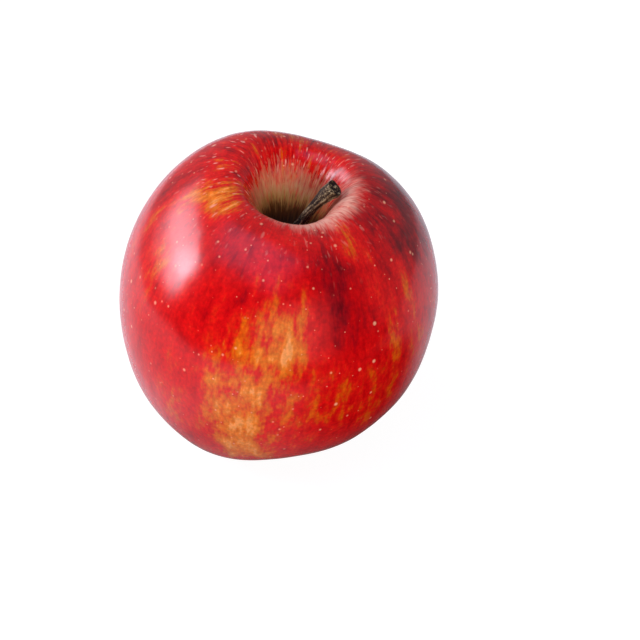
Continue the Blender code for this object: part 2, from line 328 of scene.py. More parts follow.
@dataclass
class SkinPainter:
    """Lays the layers of an apple's skin over each other in a material.

    Attributes:
        skin: The finish that it follows.
        colour: The socket with the skin's colour so far.
    """

    skin: AppleSkin
    colour: Any = None

    def __post_init__(self) -> None:
        """Start the material: places on the skin's map and in space, the mesh's marks, fine noise."""
        self.result, self.shader = new_material("waxed_apple_skin")
        self.tree = self.result.node_tree
        self.place = add_node(self.tree, "Attribute", out="Vector", attribute_name="unrolled")
        self.where = add_node(self.tree, "TexCoord", out="Object")
        self.marks = {name: add_node(self.tree, "Attribute", out="Fac", attribute_name=name)
                      for name in ("cover", "unrest", "lip", "flecks", "russet", "cavity_height")}
        self.fine = add_node(self.tree, "TexNoise", {"Vector": self.where, "Detail": 2.0,
                                                     "Scale": 1 / (self.skin.cell_group * MM)})

    def stretch(self, place: Any, width: float, length: float) -> Any:
        """Return the socket with a place on the skin's map, in grains of a width and length in mm."""
        return add_node(self.tree, "VectorMath", (place, (1 / width, 1 / width, 1 / length)),
                        operation="MULTIPLY")

    def streak(self, value: Any, *layers: tuple[float, ...]) -> Any:
        """Swing a value in streaks that run down the fruit.

        Args:
            value: The number or socket that the streaks are added to.
            *layers: A layer's streak width and length in millimetres, its swing, and its noise's detail
                where that isn't 2.

        Returns:
            The socket with the streaked value.
        """
        for width, length, swing, *detail in layers:
            cloud = add_node(self.tree, "TexNoise", {"Vector": self.stretch(self.place, width, length),
                                                     "Scale": 1.0, "Detail": (*detail, 2.0)[0],
                                                     "Roughness": 0.55})
            centred = add_node(self.tree, "Math", (cloud, 0.5), operation="SUBTRACT")
            value = add_node(self.tree, "Math", (centred, swing, value), operation="MULTIPLY_ADD")
        return value

    def spots(self, place: Any, smallest: float, largest: float) -> Any:
        """Add spots: one in each cell of a scatter, each of its own size.

        Args:
            place: The socket that gives the place, counted in cells.
            smallest: The smallest spot's radius in cells, which is below zero where some cells have none.
            largest: The largest spot's radius in cells.

        Returns:
            The socket with the spots' value, 1 inside and 0 outside, with a soft edge.
        """
        distance = add_node(self.tree, "TexVoronoi", {"Vector": place, "Scale": 1.0, "Randomness": 1.0})
        chance = distance.node.outputs["Color"]
        size = add_node(self.tree, "MapRange", {"Value": chance, "To Min": smallest, "To Max": largest})
        inside = add_node(self.tree, "Math", (size, distance), operation="SUBTRACT")
        return add_node(self.tree, "Math", (inside, largest * 0.6), operation="DIVIDE", use_clamp=True)

    def lay(self, share: Any, top: Any, glaze: Glaze = Glaze.OVER) -> None:
        """Lay a hex colour or a socket's over the skin so far, where share says how much of it shows."""
        top = linear(top) if isinstance(top, str) else top
        self.colour = add_node(self.tree, "Mix", {"Factor": share, 6: self.colour, 7: top}, out=2,
                               data_type="RGBA", blend_type=glaze.value)

    def lay_blush(self) -> None:
        """Colour the ground and the blush over it, in blotches and streaks, and mottle both."""
        blotch = add_node(self.tree, "TexNoise", {"Vector": self.where, "Detail": 3.0,
                                                  "Scale": 1 / (self.skin.blotch * MM)})
        swing = add_node(self.tree, "Math", (blotch, 0.5), operation="SUBTRACT")
        swing = self.streak(swing, *self.skin.streaks)
        total = add_node(self.tree, "Math", (swing, self.marks["unrest"], self.marks["cover"]),
                         operation="MULTIPLY_ADD")
        self.colour = fill_ramp(add_node(self.tree, "ValToRGB", (total,)), self.skin.blush_stops)
        least, most = self.skin.mottling
        shade = add_node(self.tree, "MapRange", {"Value": self.fine, "From Min": 0.3, "From Max": 0.7,
                                                 "To Min": least, "To Max": most})
        self.lay(1.0, shade, Glaze.STAIN)

    def lay_lip(self) -> None:
        """Pale the lip of the cavity in rays, where the skin is stretched thin."""
        lip = self.marks["lip"]
        rays = add_node(self.tree, "Clamp", (self.streak(lip, *self.skin.lip_rays),))
        self.lay(add_node(self.tree, "Math", (rays, lip), operation="MULTIPLY"), self.skin.lip_colour)

    def lay_dashes(self) -> None:
        """Scatter pale dashes over the shoulder, where growth has drawn the lenticels out."""
        wander = self.streak(0.0, self.skin.dash_wander)
        bent = add_node(self.tree, "VectorMath", (self.place, wander), operation="ADD")
        # The map is 2.2 to 3.5 times wider than the skin where dashes are thickest, so that a cell is
        # 0.6 to 0.9 mm wide there
        dash = self.spots(self.stretch(bent, *self.skin.dash_cell), *self.skin.dash_radius)
        share = add_node(self.tree, "Math", (dash, self.marks["flecks"]), operation="MULTIPLY")
        self.lay(share, self.skin.dash_colour)

    def lay_lenticels(self) -> Any:
        """Scatter lenticels, the skin's corky breathing pores: pale dots, mostly 0.3 to 0.8 mm wide.

        Returns:
            The socket with the dots' value.
        """
        both = 0.0
        for spacing, smallest, largest in self.skin.lenticels:
            grid = add_node(self.tree, "VectorMath", (self.where, (1 / (spacing * MM),) * 3),
                            operation="MULTIPLY")
            dots = self.spots(grid, smallest / spacing, largest / spacing)
            both = add_node(self.tree, "Math", (both, dots), operation="MAXIMUM")
        share = add_node(self.tree, "Math", (both, self.skin.lenticel_strength), operation="MULTIPLY")
        self.lay(share, self.skin.lenticel_colour)
        return both

    def lay_cork(self) -> Any:
        """Lay corky russet over the skin in the stem cavity: fine rays of olive and beige cork, darkened to
        near black towards the cavity's floor by painted shade.

        Returns:
            The socket with the cork's share.
        """
        share = self.streak(self.marks["russet"], *self.skin.cork_rays)
        # The cork's colour follows the height up the cavity and darkens towards its floor as painted shade
        level = self.streak(self.marks["cavity_height"], *self.skin.cork_shades)
        self.lay(share, fill_ramp(add_node(self.tree, "ValToRGB", (level,)), self.skin.cork_and_shade_stops))
        return share

    def material(self) -> Material:
        """Lay every layer and return the skin's material."""
        self.lay_blush()
        self.lay_lip()
        self.lay_dashes()
        dots = self.lay_lenticels()
        cork = self.lay_cork()
        # Relief: the cuticle's fine unevenness and the lenticels' corky tips
        height = add_node(self.tree, "Math", (dots, self.skin.lenticel_relief, self.fine),
                          operation="MULTIPLY_ADD")
        bump = add_node(self.tree, "Bump", {"Height": height, "Strength": 0.6,
                                            "Distance": self.skin.cuticle_relief * MM})
        rough = add_node(self.tree, "MapRange", {"Value": cork, "To Min": self.skin.gloss_roughness,
                                                 "To Max": self.skin.cork_roughness})
        feed(self.shader, {"Base Color": self.colour, "Roughness": rough, "Normal": bump,
                           "IOR": self.skin.wax_ior})
        return self.result


@dataclass(frozen=True)
class DryPlant:
    """A dry plant's surface, with no gloss and with a fine grain.

    Attributes:
        name: What the real material is.
        mark: The mesh attribute that picks the place on the stops, such as how far up a ridge it is.
        grain: The grain's width in millimetres, and how high it stands.
        swing: What is taken off the grain's noise, and how far the rest moves the place on the stops.
        roughness: How dull it is.
        stops: Its colours.
    """

    name: str
    mark: str
    grain: tuple[float, float]
    swing: tuple[float, float]
    roughness: float
    stops: tuple[tuple[float, str], ...]

    def material(self) -> Material:
        """Return the surface's material."""
        material, shader = new_material(self.name)
        tree = material.node_tree
        mark = add_node(tree, "Attribute", out="Fac", attribute_name=self.mark)
        where = add_node(tree, "TexCoord", out="Object")
        width, relief = self.grain
        flake = add_node(tree, "TexNoise", {"Vector": where, "Scale": 1 / (width * MM), "Detail": 3.0})
        centred = add_node(tree, "Math", (flake, self.swing[0]), operation="SUBTRACT")
        level = add_node(tree, "Math", (centred, self.swing[1], mark), operation="MULTIPLY_ADD")
        colour = fill_ramp(add_node(tree, "ValToRGB", (level,)), self.stops)
        bump = add_node(tree, "Bump", {"Height": flake, "Distance": relief * MM})
        feed(shader, {"Base Color": colour, "Normal": bump, "Roughness": self.roughness})
        return material


# Bark of a dry apple stem: grey, flaking ridges over near-black furrows, with no gloss
STEM_BARK = DryPlant(
    "dry_apple_bark", mark="crest", grain=(0.35, 0.08), swing=(0.5, 1.1), roughness=0.85,
    stops=((0.3, "#140B06"), (0.47, "#38281A"), (0.62, "#6E5C42"), (0.85, "#AC9A78")))
# Dried sepals and stamens: brittle brown leaf with a grey down, with no gloss
DRIED_SEPAL = DryPlant(
    "dried_sepal", mark="along", grain=(0.3, 0.06), swing=(0.0, 0.6), roughness=0.9,
    stops=((0.2, "#7D7048"), (0.55, "#6A4C2E"), (0.9, "#3A2416"), (1.0, "#24150D")))


@dataclass(frozen=True)
class Growth:
    """The core's line and the uneven growth round it, which every piece of the apple shares.

    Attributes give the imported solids' own sizes, in millimetres and degrees.
    """

    height: float = 69.4
    shoulder_radius: float = 15.5
    base_radius: float = 15.0
    core_radius: float = 3.0
    core_lean: float = math.radians(8.0)
    shoulder_waves: tuple[tuple[int, float, float], ...] = ((1, 2.35, 71.0), (2, 0.9, -15.0), (3, 0.75, 8.0))
    waist_wave: tuple[int, float, float] = (3, 0.02, 18.0)
    lobe_count: int = 5
    lobe_height: float = 1.6
    lobe_direction: float = 30.0
    lobe_reach: float = 0.5
    flat_spot_depth: float = 0.4
    middle: tuple[float, float] = (0.451, -0.631)

    def grown(self, radius: np.ndarray, height: np.ndarray, direction: np.ndarray) -> np.ndarray:
        """Move places of the even, turned fruit to where they are on the grown one.

        Args:
            radius: Each place's distance from the core's line, in millimetres.
            height: Its height, in millimetres.
            direction: Its direction round the core, in radians.

        Returns:
            The places in millimetres, with the three coordinates last.
        """
        share = np.clip(height / self.height, 0.0, 1.0)
        near_top = share * share * (3.0 - 2.0 * share)
        near_base = np.clip(1.0 - share / self.lobe_reach, 0.0, None) ** 3

        lift = sum(size * np.cos(waves * (direction - math.radians(crest)))
                   for waves, size, crest in self.shoulder_waves)
        outside = (radius - self.core_radius) / (self.shoulder_radius - self.core_radius)
        lift = lift * near_top * np.clip(outside, 0.0, 1.0)
        between = 0.5 - 0.5 * np.cos(self.lobe_count * (direction - math.radians(self.lobe_direction)))
        lift = lift + near_base * self.lobe_height * between * np.clip(radius / self.base_radius, 0.0, 1.0)

        waves, size, crest = self.waist_wave
        swell = 1.0 + size * np.cos(waves * (direction - math.radians(crest)))
        x = radius * np.cos(direction) * swell
        y = radius * np.sin(direction) * swell
        z = height + lift + near_base * x * math.tan(self.core_lean) - self.height / 2

        cos, sin = math.cos(self.core_lean), math.sin(self.core_lean)
        drop = self.height / 2 * (1.0 - cos) + self.flat_spot_depth
        leaned = (x * cos + z * sin - self.middle[0], y - self.middle[1],
                  z * cos - x * sin + self.height / 2 - drop)
        return np.stack(leaned, axis=-1)

    def core(self, height: float) -> Vector:
        """Return the place on the core's line at a height of the even fruit, in millimetres."""
        return Vector(self.grown(np.array(0.0), np.array(height), np.array(0.0)))


@dataclass(frozen=True)
class Fruit:
    """The fruit: flesh under its skin, with the stem cavity above and the basin below."""

    growth: Growth
    equator_radius: float = 39.0
    equator_height: float = 35.0
    cavity_depth: float = 21.0
    cavity_floor: tuple[float, float] = (6.6, 2.1)
    basin_depth: float = 9.0
    basin_floor_radius: float = 7.5
    stem_socket_radius: float = 1.8
    calyx_socket_radius: float = 2.5
    calyx_floor_radius: float = 3.8
    socket_depth: float = 2.5
    lip_fullness: float = 0.50
    shoulder_fullness: float = 0.40
    upper_side_fullness: float = 0.53
    lower_side_fullness: float = 0.66
    base_fullness: float = 0.49
    basin_fullness: float = 0.5
    columns: int = 360
    row_gap: float = 0.56
    patches: tuple[Patch, ...] = (
        Patch(261, 78, 13, 22.5, -0.39), Patch(270, 55, 8, 9, -0.28), Patch(277, 50, 4, 8, -0.2),
        Patch(249, 68, 6, 12, -0.14), Patch(200, 29, 13, 4.3, -0.6), Patch(191, 37, 6, 5, -0.29),
        Patch(161, 32, 7, 4, -0.1), Patch(184, 47, 5, 7, -0.17), Patch(207, 54, 9, 9, -0.15),
        Patch(230, 85, 8, 10, -0.17), Patch(306, 31, 8, 6, -0.2), Patch(313, 41, 4.5, 8, -0.15),
        Patch(318, 60, 3.5, 6, -0.26), Patch(331, 51, 2.8, 7, -0.28), Patch(300, 74, 24, 14, -0.12),
        Patch(335, 66, 10, 12, -0.12), Patch(95, 70, 13, 24, -0.42), Patch(128, 64, 6, 14, -0.22),
        Patch(30, 58, 5, 14, -0.24), Patch(8, 76, 7, 13, -0.22), Patch(55, 88, 16, 12, -0.16),
        Patch(170, 82, 18, 12, -0.14), Patch(291, 40, 10, 8, 0.17), Patch(298, 52, 11, 10, 0.15),
        Patch(345, 36, 30, 15, 0.14), Patch(235, 36, 26, 8, 0.08), Patch(20, 42, 40, 12, 0.14),
        Patch(60, 62, 22, 22, 0.1), Patch(171, 42, 9, 7, 0.13),
    )
    cork_edge: float = 21.0
    cork_fade: float = 9.0
    usual_cover: float = 0.69
    calm_streaks: float = 0.33
    ground_streaks: float = 1.5
    front_side: float = 290.0
    back_side: float = 125.0
    pale_side: float = 320.0
    hollow_edge: tuple[float, float] = (14.0, 20.0)
    collar_end: tuple[float, float] = (27.0, 38.0)
    fleck_end: tuple[float, float] = (28.0, 46.0)
    lip_start: tuple[float, float] = (13.0, 18.0)
    basin_start: tuple[float, float] = (104.0, 122.0)
    lip_paleness: float = 0.85
    cork_height: float = 19.0

    def outline(self) -> tuple[np.ndarray, np.ndarray, np.ndarray]:
        """Work out the even fruit's outline.

        Returns:
            The radius, the height and the distance down the outline at each row, all in millimetres. The
            distance is zero where the cavity's floor starts and is negative in the stem's socket.
        """
        top, equator = self.growth.height, (self.equator_radius, self.equator_height)
        shoulder, base = self.growth.shoulder_radius, self.growth.base_radius
        floor = top - self.cavity_depth
        lip = shoulder - self.lip_fullness * (shoulder - self.stem_socket_radius)
        over = shoulder + self.shoulder_fullness * (self.equator_radius - shoulder)
        above = self.equator_height + self.upper_side_fullness * (top - self.equator_height)
        below = self.equator_height * (1.0 - self.lower_side_fullness)
        under = base + self.base_fullness * (self.equator_radius - base)
        stretches = (
            ((self.stem_socket_radius, floor), (self.cavity_floor[0], floor + self.cavity_floor[1]),
             (lip, top), (shoulder, top)),
            ((shoulder, top), (over, top), (self.equator_radius, above), equator),
            (equator, (self.equator_radius, below), (under, 0.0), (base, 0.0)),
            ((base, 0.0), (base * self.basin_fullness, 0.0), (self.basin_floor_radius, self.basin_depth),
             (self.calyx_floor_radius, self.basin_depth)),
        )
        places = [(0.001, floor - self.socket_depth), (self.stem_socket_radius, floor - self.socket_depth)]
        for stretch in stretches:
            corners = [Vector(corner) for corner in stretch]
            rough = interpolate_bezier(*corners, 64)
            length = sum((b - a).length for a, b in zip(rough, rough[1:]))
            rows = max(round(length / self.row_gap), 4)
            places += [tuple(point) for point in interpolate_bezier(*corners, rows + 1)][:-1]
        places.append((self.calyx_floor_radius, self.basin_depth))
        places.append((self.calyx_socket_radius, self.basin_depth))
        places.append((self.calyx_socket_radius, self.basin_depth + self.socket_depth))
        places.append((0.001, self.basin_depth + self.socket_depth))
        radius, height = np.array(places).T
        steps = np.hypot(np.diff(radius), np.diff(height))
        down = np.concatenate([[0.0], np.cumsum(steps)])
        return radius, height, down - down[2]

    def build(self, skin: Material) -> Object:
        """Build the fruit and dress it.

        Args:
            skin: The skin's material.

        Returns:
            The fruit.
        """
        radius, height, down = self.outline()
        direction = np.linspace(0.0, 2 * math.pi, self.columns, endpoint=False)
        radii, directions = np.meshgrid(radius, direction, indexing="ij")
        heights = np.repeat(height[:, None], self.columns, axis=1)
        mesh = grid_mesh("fruit", self.growth.grown(radii, heights, directions), closed_ends=False)

        downs = np.repeat(down, self.columns)
        turns = directions.ravel()
        ring = self.equator_radius * np.stack([np.cos(turns), np.sin(turns)])
        cylinder = np.stack([*ring, downs], axis=-1)
        self.raise_relief(mesh, cylinder, downs)
        add_attribute(mesh, "unrolled", cylinder)
        self.map_skin(mesh, np.degrees(turns), downs)
        self.unroll(mesh, down)
        return link_object("apple_fruit", mesh, skin)

    def map_skin(self, mesh: Mesh, degrees: np.ndarray, downs: np.ndarray) -> None:
        """Store where the skin is blushed, streaked, flecked, pale and corky.

        Args:
            mesh: The fruit's mesh.
            degrees: Each vertex's direction, in degrees.
            downs: Each vertex's distance down the outline.
        """
        bare = sum(patch.spread(degrees, downs) for patch in self.patches if patch.amount < 0)
        deep = sum(patch.spread(degrees, downs) for patch in self.patches if patch.amount > 0)
        basin = smooth_step(downs, *self.basin_start)
        turns = np.radians(degrees)
        front = facing(turns, self.front_side)
        behind = smooth_step(facing(turns, self.back_side), 0.3, 0.8)
        outside = smooth_step(downs, *self.hollow_edge)
        collar = outside * (1.0 - smooth_step(downs, *self.collar_end)) * behind
        add_attribute(mesh, "cover", self.usual_cover + bare + deep - 0.3 * basin - 0.03 * collar)
        unrest = self.calm_streaks + self.ground_streaks * np.clip(-bare, 0.0, 0.4) + 0.4 * basin
        add_attribute(mesh, "unrest", unrest + 0.4 * collar)

        # The front of the lip is stretched pale, most on the right. The back keeps its blush down into
        # the cavity.
        right = facing(turns, self.pale_side) ** 2
        lip_end = smooth_step(downs, 19.5 + 4.5 * right, 24.0 + 7.0 * right)
        lip = smooth_step(downs, *self.lip_start) * (1.0 - lip_end) * smooth_step(front, 0.3, 0.9)
        add_attribute(mesh, "lip", lip * self.lip_paleness)
        edge = self.cork_edge - 6.0 * front**2
        add_attribute(mesh, "russet", np.clip((edge - downs) / self.cork_fade, -1.5, 1.5))
        # Height up the cavity, which the cork's colour and its painted shade follow
        add_attribute(mesh, "cavity_height", np.clip((downs - 1.0) / self.cork_height, 0.0, 1.0))
        flecks = outside * (1.0 - smooth_step(downs, *self.fleck_end))
        add_attribute(mesh, "flecks", flecks * (0.25 + 0.7 * behind))

    def raise_relief(self, mesh: Mesh, cylinder: np.ndarray, downs: np.ndarray) -> None:
        """Give the skin its slight unevenness, and the cavity and basin their fine ribs.

        Args:
            mesh: The fruit's mesh.
            cylinder: Each vertex's place on the unrolled skin.
            downs: Each vertex's distance down the outline.
        """
        places, normals = read_vertices(mesh, "co"), read_vertices(mesh, "normal")
        on_skin = smooth_step(downs, 0.0, 4.0) * (1.0 - smooth_step(downs, 131.0, 134.0))
        swell = 0.16 * grain(places / MM, (13.0, 13.0, 13.0))
        swell = swell + 0.035 * grain(places / MM, (4.0, 4.0, 4.0), 7.0)
        ribs = grain(cylinder, (5.0, 5.0, 40.0), 3.0)
        in_hollow = (1.0 - smooth_step(downs, 16.0, 28.0)) + smooth_step(downs, 112.0, 122.0)
        places = places + normals * ((swell + 0.3 * ribs * in_hollow) * on_skin * MM)[:, None]
        places[:, 2] = np.maximum(places[:, 2], 0.0)
        mesh.vertices.foreach_set("co", places.ravel())
        mesh.update()

    def unroll(self, mesh: Mesh, down: np.ndarray) -> None:
        """Lay out the skin's texture coordinates as its map, with one seam at the back.

        Args:
            mesh: The fruit's mesh.
            down: The distance down the outline at each row.
        """
        corners = np.empty(len(mesh.loops), np.int32)
        mesh.loops.foreach_get("vertex_index", corners)
        corners = corners.reshape(-1, 4)
        column = corners % self.columns
        last = (column.max(axis=1) == self.columns - 1) & (column.min(axis=1) == 0)
        column = column.astype(float)
        column[last[:, None] & (column == 0)] = self.columns
        whole = down[-1] - down[0]
        up = 1.0 - (down[corners // self.columns] - down[0]) / whole
        layer = mesh.uv_layers.new(name="OFBake")
        spots = np.stack([column / self.columns, up], axis=-1)
        layer.data.foreach_set("uv", spots.astype(np.float32).ravel())


@dataclass(frozen=True)
class Stem:
    """The stem: a short woody stalk, ridged along its length, with a flared and broken end."""

    growth: Growth
    floor_height: float = 48.4
    foot_length: float = 2.2
    foot_radius: float = 1.5
    neck_radius: float = 1.2
    head_radius: float = 2.1
    head_start: float = 0.68
    tip: tuple[float, float, float] = (14.2, -1.5, 67.7)
    tip_lean: tuple[float, float, float] = (0.80, -0.10, 0.74)
    rise: float = 3.5
    rings: int = 150
    points: int = 56
    end_rings: int = 12
    bark_length: float = 22.0
    bark_radius: float = 1.9

    def line(self) -> list[Vector]:
        """Return the stem's centre points in millimetres, from its foot to its broken end."""
        root = self.growth.core(self.floor_height)
        foot = self.growth.core(self.floor_height - self.foot_length)
        along = (root - foot).normalized()
        tip = Vector(self.tip) - Vector((*self.growth.middle, 0.0))
        reach = (tip - root).length / 3
        arrive = tip - Vector(self.tip_lean).normalized() * reach
        free = interpolate_bezier(root, root + along * self.rise, arrive, tip, self.rings)
        foot_part = [foot.lerp(root, share) for share in (0.0, 0.5)]
        return foot_part + [Vector(point) for point in free]

    def radius(self, share: float) -> float:
        """Return the even stem's radius at a share of its free length, in millimetres."""
        flare = max((share - self.head_start) / (1.0 - self.head_start), 0.0)
        flare = flare * flare * (3.0 - 2.0 * flare)
        foot = max(1.0 - share / self.head_start, 0.0) ** 2
        return (self.neck_radius + (self.foot_radius - self.neck_radius) * foot
                + (self.head_radius - self.neck_radius) * flare)

    def build(self, bark: Material) -> Object:
        """Build the stem and dress it.

        Args:
            bark: The bark's material.

        Returns:
            The stem.
        """
        line = self.line()
        angles = np.linspace(0.0, 2 * math.pi, self.points, endpoint=False)
        side = Vector((0.0, 1.0, 0.0))
        rings, crests = [], []
        free_count = len(line) - 2
        for index, centre in enumerate(line):
            ahead = (line[min(index + 1, len(line) - 1)] - line[max(index - 1, 0)]).normalized()
            side = (side - ahead * side.dot(ahead)).normalized()
            other = ahead.cross(side)
            share = max(index - 2, 0) / (free_count - 1)
            ring = np.stack([np.cos(angles) * self.bark_radius, np.sin(angles) * self.bark_radius,
                             np.full(self.points, share * self.bark_length)], axis=-1)
            ridge = grain(ring, (0.55, 0.55, 4.2), 11.0) + 0.6 * grain(ring, (0.3, 0.3, 1.3), 5.0)
            knob = grain(ring, (1.6, 1.6, 2.4), 2.0)
            free = min(share / 0.06, 1.0)
            radius = self.radius(share) * (1.0 + 0.13 * free * knob) + 0.14 * free * ridge
            rings.append([centre + side * (r * math.cos(a)) + other * (r * math.sin(a))
                          for r, a in zip(radius, angles)])
            crests.append(0.5 + 0.42 * ridge + 0.12 * knob)
        tip, ahead = line[-1], (line[-1] - line[-2]).normalized()
        rim = rings[-1]
        for step in range(1, self.end_rings + 1):
            shrink = 1.0 - step / (self.end_rings + 0.6)
            flat = np.array([tip.lerp(place, shrink) - tip for place in rim])
            pits = grain(flat + 40.0, (0.55, 0.55, 0.55), 1.0)
            edge = min(step / 2.0, 1.0)
            depth = 0.30 * edge * (1.0 - shrink**2) - 0.34 * edge * pits
            rings.append([tip + Vector(place) - ahead * float(d) for place, d in zip(flat, depth)])
            crests.append(0.34 + 0.75 * np.clip(pits, -0.4, 1.0))
        places = np.array([[tuple(place) for place in ring] for ring in rings])
        mesh = grid_mesh("stem", places)
        mesh.flip_normals()
        values = np.concatenate(crests + [np.array([0.5, 0.3])])
        add_attribute(mesh, "crest", values)
        return link_object("apple_stem", mesh, bark)


@dataclass(frozen=True)
class Calyx:
    """The calyx: five dried sepals curled outwards round a tuft of withered stamens."""

    growth: Growth
    floor_height: float = 9.0
    gap: float = 0.3
    foot_radius: float = 2.2
    foot_length: float = 2.2
    flange_radius: float = 3.5
    flange_thickness: float = 0.9
    sepal_count: int = 5
    sepal_width: float = 3.5
    sepal_root_radius: float = 2.9
    sepal_waist_radius: float = 1.9
    sepal_tip_radius: float = 4.4
    sepal_drop: float = 6.2
    sepal_thickness: float = 0.35
    sepal_rows: int = 26
    sepal_columns: int = 10
    stamen_count: int = 14
    stamen_radius: float = 0.16
    stamen_length: float = 3.8
    stamen_rings: int = 14
    stamen_sides: int = 8
    seed: int = 4

    def place(self, radius: float, drop: float, direction: float) -> tuple[float, float, float]:
        """Return the grown place at a radius, a drop under the basin's floor and a direction in radians."""
        height = self.floor_height - drop
        return tuple(self.growth.grown(np.array(radius), np.array(height), np.array(direction)))

    def sepal(self, index: int, draw: random.Random) -> tuple[list, list, list]:
        """Shape one sepal.

        Args:
            index: Which sepal it is.
            draw: The source of its small differences from the others.

        Returns:
            Its places in millimetres, its faces, and each place's share of the sepal's length.
        """
        facing = 2 * math.pi * index / self.sepal_count + math.radians(self.growth.lobe_direction)
        tip_radius = self.sepal_tip_radius + draw.uniform(-0.8, 0.7)
        drop = self.sepal_drop * draw.uniform(0.88, 1.0)
        twist = draw.uniform(-0.35, 0.35)
        corners = (Vector((self.sepal_root_radius, self.gap + self.flange_thickness * 0.5)),
                   Vector((self.sepal_waist_radius, drop * 0.45)),
                   Vector((self.sepal_waist_radius * 1.1, drop * 0.85)), Vector((tip_radius, drop)))
        line = interpolate_bezier(*corners, self.sepal_rows + 1)
        places, shares = [], []
        for row, point in enumerate(line):
            share = row / self.sepal_rows
            half = self.sepal_width / 2 * (1.0 - share**1.7) ** 0.8 + 0.05
            for column in range(self.sepal_columns + 1):
                across = 2 * column / self.sepal_columns - 1
                wave = 0.16 * math.sin(7.0 * share + 2.1 * across + index) * share
                cup = 0.35 * across * across * (1.0 - share) - 0.55 * across * across * share
                angle = facing + twist * share + across * half / self.sepal_root_radius
                places.append(self.place(max(point.x + wave + cup, 0.3), point.y + wave * 0.6, angle))
                shares.append(share)
        wide = self.sepal_columns + 1
        faces = [[row * wide + column, row * wide + column + 1, (row + 1) * wide + column + 1,
                  (row + 1) * wide + column]
                 for row in range(self.sepal_rows) for column in range(self.sepal_columns)]
        return places, faces, shares

    def build_sepals(self, leaf: Material) -> Object:
        """Build the five sepals.

        Args:
            leaf: The dried leaf's material.

        Returns:
            The sepals, as one piece.
        """
        draw = random.Random(self.seed)
        places, faces, shares = [], [], []
        for index in range(self.sepal_count):
            new_places, new_faces, new_shares = self.sepal(index, draw)
            faces += [[corner + len(places) for corner in face] for face in new_faces]
            places += new_places
            shares += new_shares
        mesh = bpy.data.meshes.new("sepals")
        mesh.from_pydata((np.array(places) * MM).tolist(), [], faces)
        add_attribute(mesh, "along", 0.15 + 0.5 * np.array(shares))
        piece = link_object("calyx_sepals", mesh, leaf)
        thickness = piece.modifiers.new("thickness", "SOLIDIFY")
        thickness.thickness = self.sepal_thickness * MM
        thickness.offset = 0.0
        smooth = piece.modifiers.new("smoothing", "SUBSURF")
        smooth.levels = smooth.render_levels = 1
        return piece

    def build_heart(self, leaf: Material) -> Object:
        """Build the calyx's foot and the withered stamens that stand on it.

        Args:
            leaf: The dried leaf's material.

        Returns:
            The foot and stamens, as one piece.
        """
        draw = random.Random(self.seed + 1)
        angles = np.linspace(0.0, 2 * math.pi, 48, endpoint=False)
        flange_top, flange_bottom = self.gap, self.gap + self.flange_thickness
        foot = ((0.05, -self.foot_length), (self.foot_radius, -self.foot_length),
                (self.foot_radius, flange_top), (self.flange_radius - 0.2, flange_top),
                (self.flange_radius, flange_top + 0.25), (self.flange_radius - 0.15, flange_bottom - 0.2),
                (self.flange_radius - 0.8, flange_bottom), (1.4, flange_bottom - 0.25),
                (0.05, flange_bottom - 0.4))
        rows = np.array([[self.place(radius, drop, angle) for angle in angles] for radius, drop in foot])
        meshes = [(grid_mesh("foot", rows), 0.35)]
        for index in range(self.stamen_count):
            ring = 0.35 + 1.15 * math.sqrt((index + 0.5) / self.stamen_count)
            facing = index * math.radians(137.5)
            length = self.stamen_length * draw.uniform(0.7, 1.05)
            lean, bend = draw.uniform(-0.1, 0.45), draw.uniform(-0.5, 0.5)
            rows = []
            for step in range(self.stamen_rings + 1):
                share = step / self.stamen_rings
                knob = 1.9 if share > 0.86 else 1.0 - 0.35 * share
                thin = self.stamen_radius * knob * (0.45 if step == self.stamen_rings else 1.0)
                centre_radius = ring + lean * share * 1.6
                x = centre_radius * math.cos(facing + bend * share)
                y = centre_radius * math.sin(facing + bend * share)
                drop = flange_bottom - 0.5 + length * share
                circle = [(x + thin * math.cos(turn), y + thin * math.sin(turn))
                          for turn in np.linspace(0.0, 2 * math.pi, self.stamen_sides, endpoint=False)]
                rows.append([self.place(math.hypot(*spot), drop, math.atan2(spot[1], spot[0]))
                             for spot in circle])
            meshes.append((grid_mesh("stamen", np.array(rows)), 0.8))
        return self.joined(meshes, leaf)

    def joined(self, meshes: list[tuple[Mesh, float]], leaf: Material) -> Object:
        """Join closed meshes into one piece.

        Args:
            meshes: The meshes, each with its darkness.
            leaf: The dried leaf's material.

        Returns:
            The piece.
        """
        places, faces, levels = [], [], []
        for mesh, level in meshes:
            faces += [[corner + len(places) for corner in face.vertices] for face in mesh.polygons]
            places += [tuple(vertex.co) for vertex in mesh.vertices]
            levels += [level] * len(mesh.vertices)
            bpy.data.meshes.remove(mesh)
        whole = bpy.data.meshes.new("heart")
        whole.from_pydata(places, [], faces)
        add_attribute(whole, "along", np.array(levels))
        return link_object("calyx_heart", whole, leaf)


